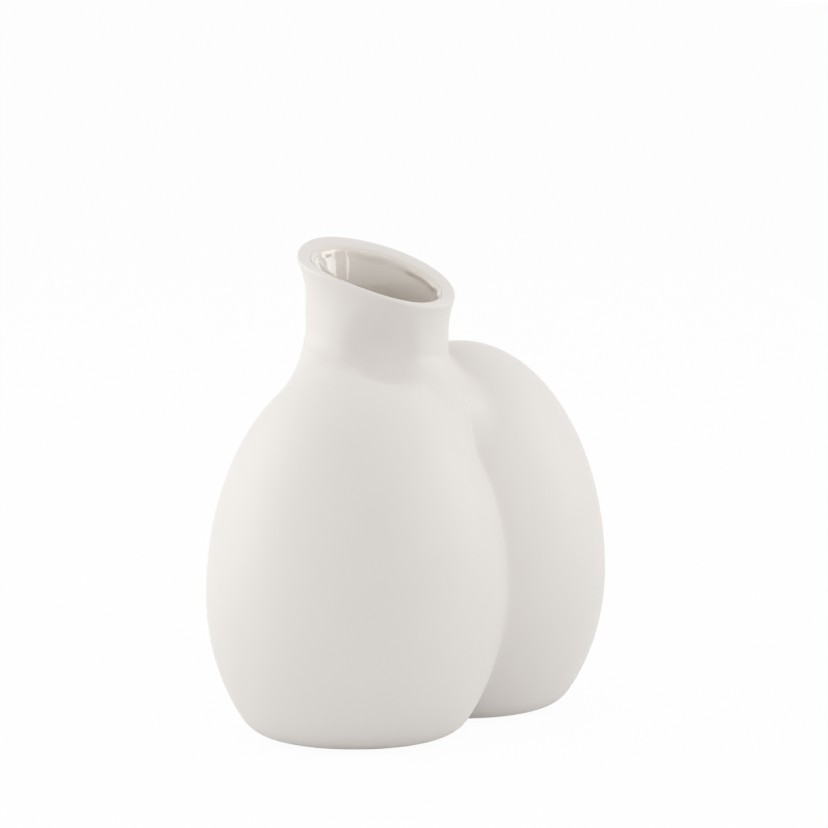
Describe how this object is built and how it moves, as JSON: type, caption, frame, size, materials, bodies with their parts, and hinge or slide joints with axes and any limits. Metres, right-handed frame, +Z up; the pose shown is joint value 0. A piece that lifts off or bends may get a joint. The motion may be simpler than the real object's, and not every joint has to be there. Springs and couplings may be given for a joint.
{
  "type": "pillow vase",
  "caption": "Porcelain vase of swollen pillow forms grown into each other, with an offset round neck, a slanted flared mouth and a glazed inside; holds stems.",
  "frame": {"origin": "centre of the base, on the surface that the vase stands on", "axes": "+Z up, pillows side by side along Y with the front one at -Y, mouth falling towards +X"},
  "size_m": [0.092, 0.15, 0.1498],
  "materials": {
    "bisque": "matte unglazed porcelain, fine grained",
    "glaze": "clear gloss glaze, warm grey"
  },
  "bodies": {
    "root": {"front_pillow": "bisque", "rear_pillow": "bisque", "neck": "bisque", "glaze_lining": "glaze"}
  },
  "joints": []
}
